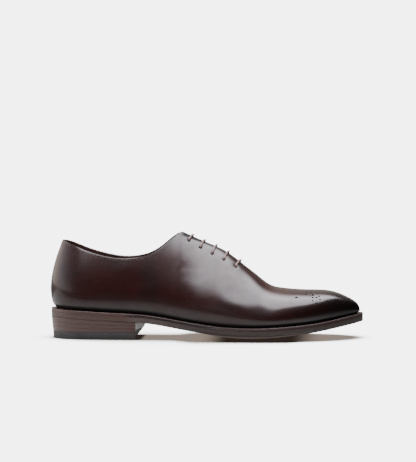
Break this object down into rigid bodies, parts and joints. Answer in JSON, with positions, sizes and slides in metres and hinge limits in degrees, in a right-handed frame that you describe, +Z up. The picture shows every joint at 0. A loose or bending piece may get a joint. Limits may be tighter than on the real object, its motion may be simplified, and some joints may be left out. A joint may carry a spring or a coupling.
{
  "type": "whole cut oxford shoe",
  "caption": "Low closed-lacing dress shoe for the right foot: seamless hollow upper, tongue, laced throat, welted leather sole and stacked heel.",
  "frame": {"origin": "on the floor, in the middle of the heel's tread", "axes": "+X towards the toe, +Y towards the inner (medial) side, +Z up"},
  "size_m": [0.3068, 0.1019, 0.1042],
  "materials": {
    "upper_leather": "polished dark brown calf, burnished nearly black at the toe",
    "tongue_leather": "dark brown calf, less glossy",
    "insole_leather": "natural tan leather, matt",
    "edge_leather": "dark brown waxed sole edge",
    "heel_leather": "stacked leather, brown, waxed",
    "heel_rubber": "dark grey rubber, matt",
    "lace_cord": "waxed round cotton cord"
  },
  "bodies": {
    "root": {"upper": "upper_leather", "tongue": "tongue_leather", "insole": "insole_leather", "welt": "edge_leather", "heel_rand": "edge_leather", "outsole": "edge_leather", "heel_lift_1": "heel_leather", "heel_lift_2": "heel_leather", "heel_lift_3": "heel_leather", "heel_top_piece": "heel_rubber", "laces": "lace_cord"}
  },
  "joints": []
}
